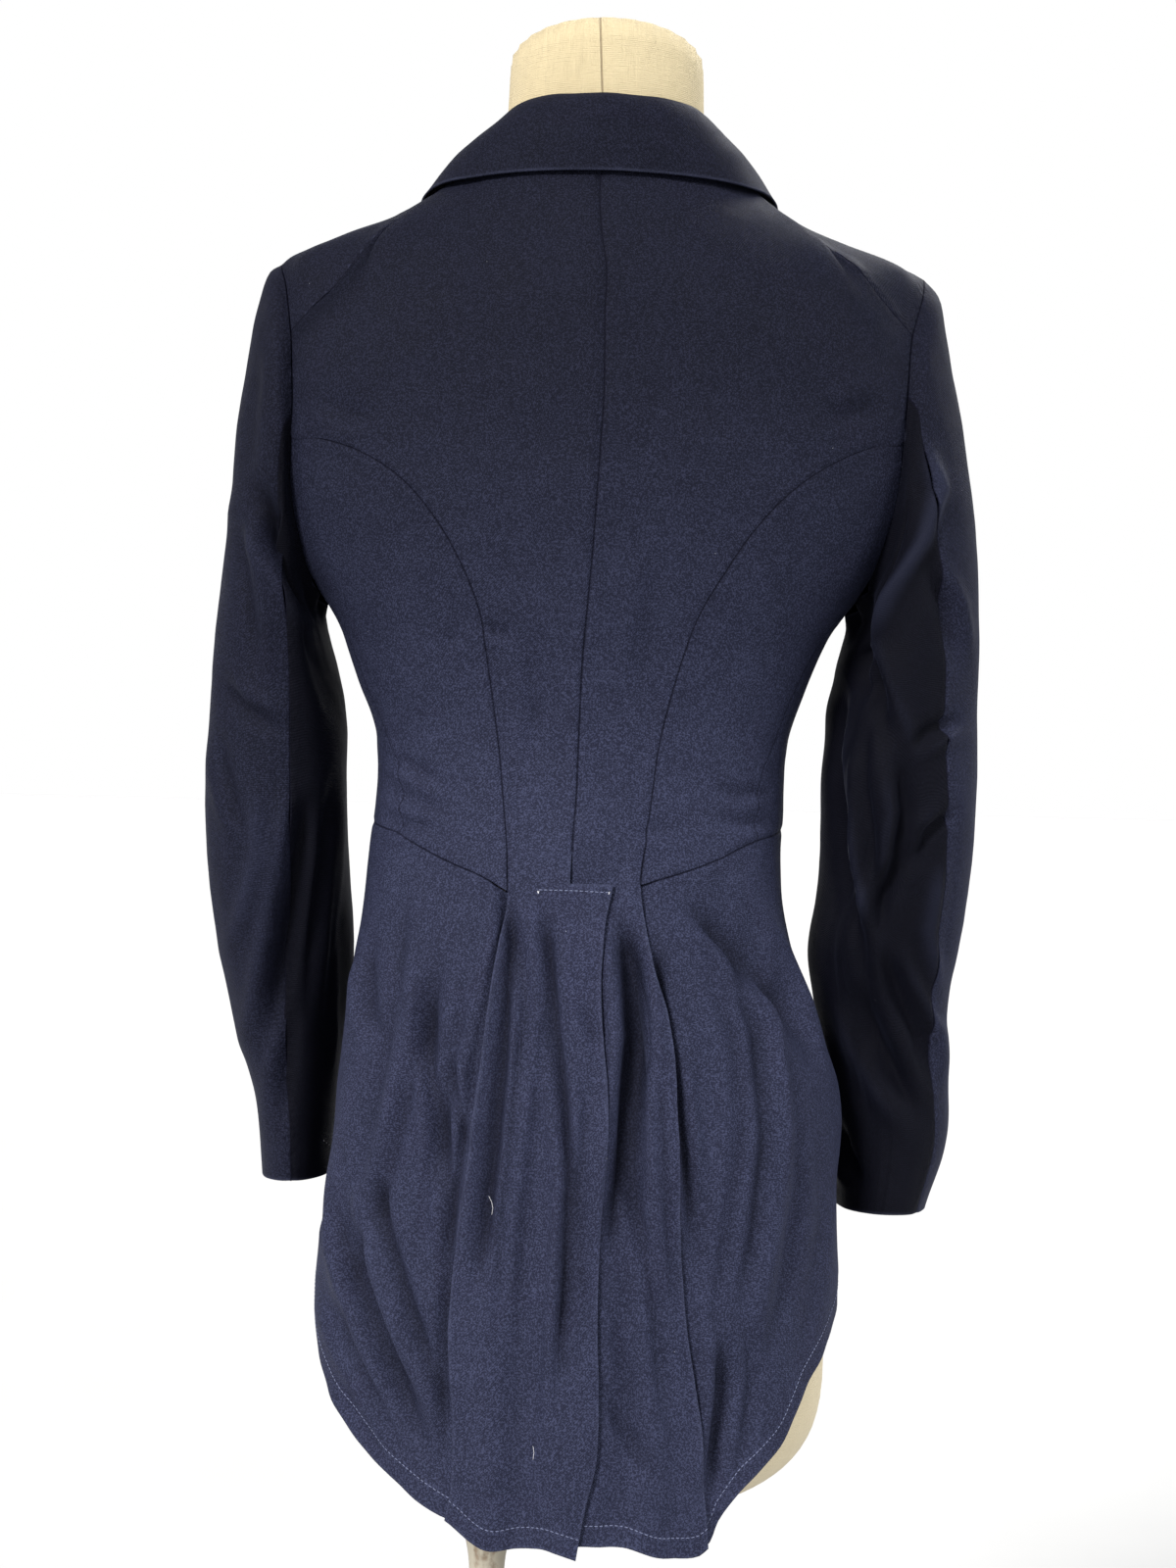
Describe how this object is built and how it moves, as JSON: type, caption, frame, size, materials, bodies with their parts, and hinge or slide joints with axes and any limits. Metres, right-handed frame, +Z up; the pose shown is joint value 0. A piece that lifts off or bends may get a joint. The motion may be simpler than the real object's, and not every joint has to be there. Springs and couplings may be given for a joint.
{
  "type": "tailcoat on a limbless dress form",
  "caption": "Navy cotton tailcoat with split tails, worn by a cream limbless dress form on a turned post.",
  "frame": {"origin": "on the floor under the middle of the dress form, on the flat underside of the stand's base", "axes": "+Z up, the coat's front faces -Y, the wearer's left is +X"},
  "size_m": [0.4693, 0.344, 1.4514],
  "materials": {
    "cloth": "dark navy cotton drill with a slight sheen",
    "button": "dark, satin",
    "linen": "cream linen, matte",
    "paint": "worn cream and brown paint on wood"
  },
  "bodies": {
    "root": {"back_left": "cloth", "back_right": "cloth", "side_back_left": "cloth", "side_back_right": "cloth", "front_left": "cloth", "front_right": "cloth", "skirt_left": "cloth", "skirt_right": "cloth", "sleeve_top_left": "cloth", "sleeve_under_left": "cloth", "sleeve_top_right": "cloth", "sleeve_under_right": "cloth", "collar": "cloth", "lapel_left": "cloth", "lapel_right": "cloth", "button_front_1": "button", "button_front_2": "button", "button_front_3": "button", "form_body": "linen", "stand_flange": "paint", "stand_post": "paint", "stand_base": "paint"}
  },
  "joints": []
}
